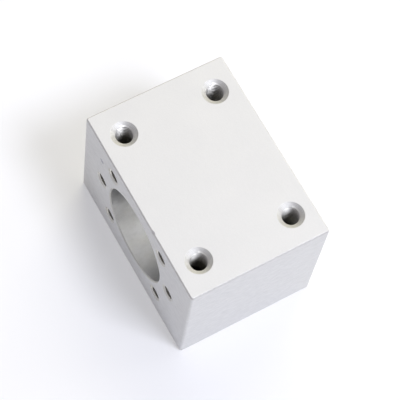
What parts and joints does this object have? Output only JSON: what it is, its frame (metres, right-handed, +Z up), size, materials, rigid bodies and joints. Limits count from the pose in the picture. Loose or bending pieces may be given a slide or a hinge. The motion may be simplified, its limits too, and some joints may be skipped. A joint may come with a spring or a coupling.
{
  "type": "ball screw nut housing",
  "caption": "Machined aluminium block with a through bore for a flanged ball nut, tapped holes round the bore for its flange and tapped mounting holes in the top face.",
  "frame": {"origin": "middle of the bottom face", "axes": "+Z up to the tapped mounting face, Y along the bore with the flange face at -Y, X across the block"},
  "size_m": [0.05, 0.036, 0.036],
  "materials": {
    "aluminium": "fine blasted and clear anodised"
  },
  "bodies": {
    "root": {"nut_housing": "aluminium"}
  },
  "joints": []
}
